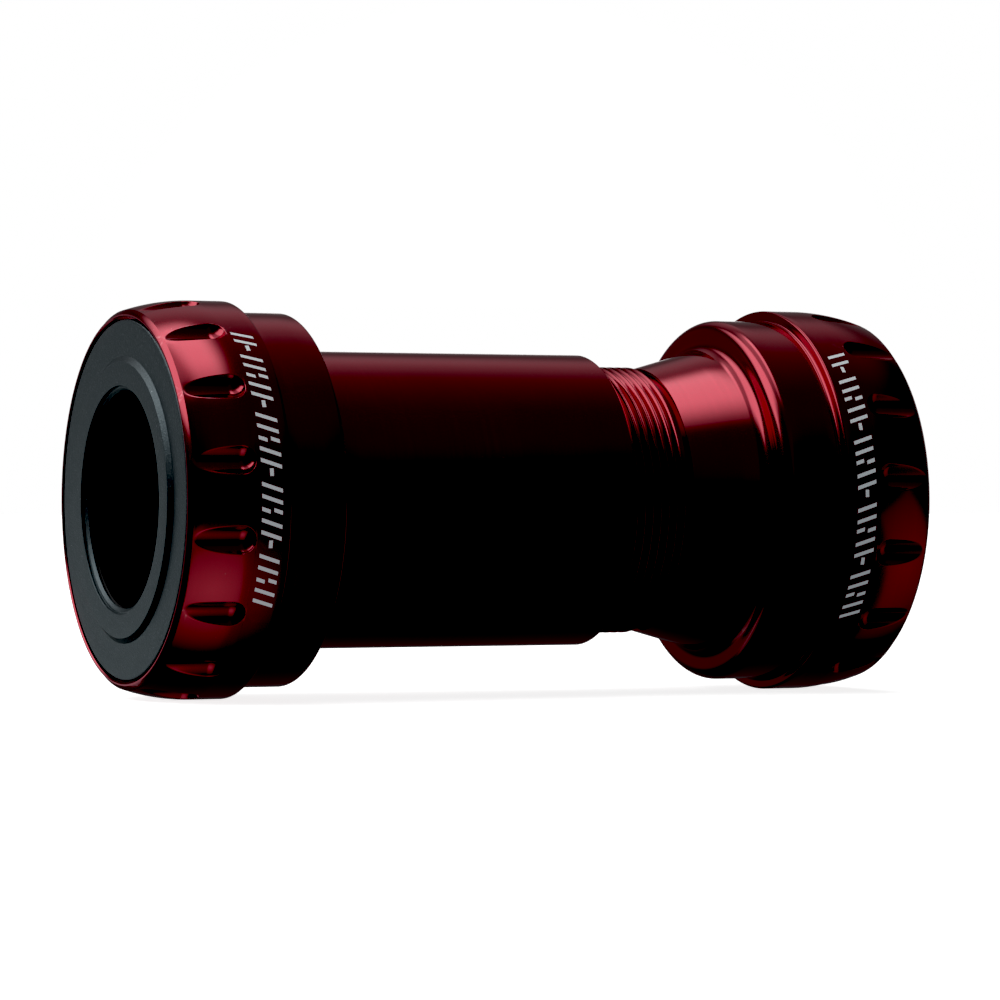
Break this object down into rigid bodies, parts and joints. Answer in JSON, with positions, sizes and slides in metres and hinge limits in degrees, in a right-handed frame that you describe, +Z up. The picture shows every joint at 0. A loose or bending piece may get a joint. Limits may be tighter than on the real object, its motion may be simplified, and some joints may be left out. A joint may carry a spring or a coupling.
{
  "type": "bicycle bottom bracket",
  "caption": "Bottom bracket of two screwed-together cups with outboard ball bearings for a bicycle crank spindle.",
  "frame": {"origin": "on the spindle axis, at the middle of the frame shell", "axes": "+Y along the spindle axis from the sleeve cup (drive side) to the threaded cup, +Z up, +X towards the bicycle's front"},
  "size_m": [0.0445, 0.0916, 0.0444],
  "materials": {
    "red_anodised_aluminium": "glossy dark red anodising over turned metal",
    "black_cover": "satin black with a fine grain",
    "bearing_steel": "ground and honed",
    "ceramic_balls": "polished dark silicon nitride",
    "cage_nylon": "moulded, slightly translucent",
    "seal_rubber": "moulded rubber over a steel washer",
    "rubber": "smooth nitrile rubber"
  },
  "bodies": {
    "sleeve_cup_body": {"sleeve_cup": "red_anodised_aluminium", "drive_outer_race": "bearing_steel", "drive_outboard_seal": "seal_rubber", "drive_inboard_seal": "seal_rubber"},
    "sleeve_seal_body": {"sleeve_seal_ring": "rubber"},
    "threaded_cup_body": {"threaded_cup": "red_anodised_aluminium", "nondrive_outer_race": "bearing_steel", "nondrive_outboard_seal": "seal_rubber", "nondrive_inboard_seal": "seal_rubber"},
    "drive_ball_set": {"drive_balls": "ceramic_balls", "drive_ball_cage": "cage_nylon"},
    "drive_spindle_side": {"drive_inner_race": "bearing_steel", "drive_dust_cover": "black_cover", "drive_cover_seal_ring": "rubber", "drive_spindle_seal_ring": "rubber"},
    "nondrive_ball_set": {"nondrive_balls": "ceramic_balls", "nondrive_ball_cage": "cage_nylon"},
    "nondrive_spindle_side": {"nondrive_inner_race": "bearing_steel", "nondrive_dust_cover": "black_cover", "nondrive_cover_seal_ring": "rubber", "nondrive_spindle_seal_ring": "rubber"}
  },
  "joints": [
    {"name": "cup_travel", "type": "slide", "parent": "sleeve_cup_body", "child": "sleeve_seal_body", "axis": [0, 1, 0], "range_m": [-0.0071, 0.0081]},
    {"name": "cup_turn", "type": "hinge", "parent": "sleeve_seal_body", "child": "threaded_cup_body", "pos_m": [0, 0, 0], "axis": [0, 1, 0], "range_deg": [-2520, 2880]},
    {"name": "drive_spindle_spin", "type": "hinge", "parent": "sleeve_cup_body", "child": "drive_spindle_side", "pos_m": [0, -0.04005, 0], "axis": [0, 1, 0], "continuous": true},
    {"name": "drive_ball_orbit", "type": "hinge", "parent": "sleeve_cup_body", "child": "drive_ball_set", "pos_m": [0, -0.04005, 0], "axis": [0, 1, 0], "continuous": true},
    {"name": "nondrive_spindle_spin", "type": "hinge", "parent": "threaded_cup_body", "child": "nondrive_spindle_side", "pos_m": [0, 0.04005, 0], "axis": [0, 1, 0], "continuous": true},
    {"name": "nondrive_ball_orbit", "type": "hinge", "parent": "threaded_cup_body", "child": "nondrive_ball_set", "pos_m": [0, 0.04005, 0], "axis": [0, 1, 0], "continuous": true}
  ],
  "couplings": [
    {"joint": "cup_travel", "follows": "cup_turn", "m_per_rad": 0.00015915},
    {"joint": "drive_ball_orbit", "follows": "drive_spindle_spin", "ratio": 0.44355},
    {"joint": "nondrive_ball_orbit", "follows": "nondrive_spindle_spin", "ratio": 0.44355}
  ]
}
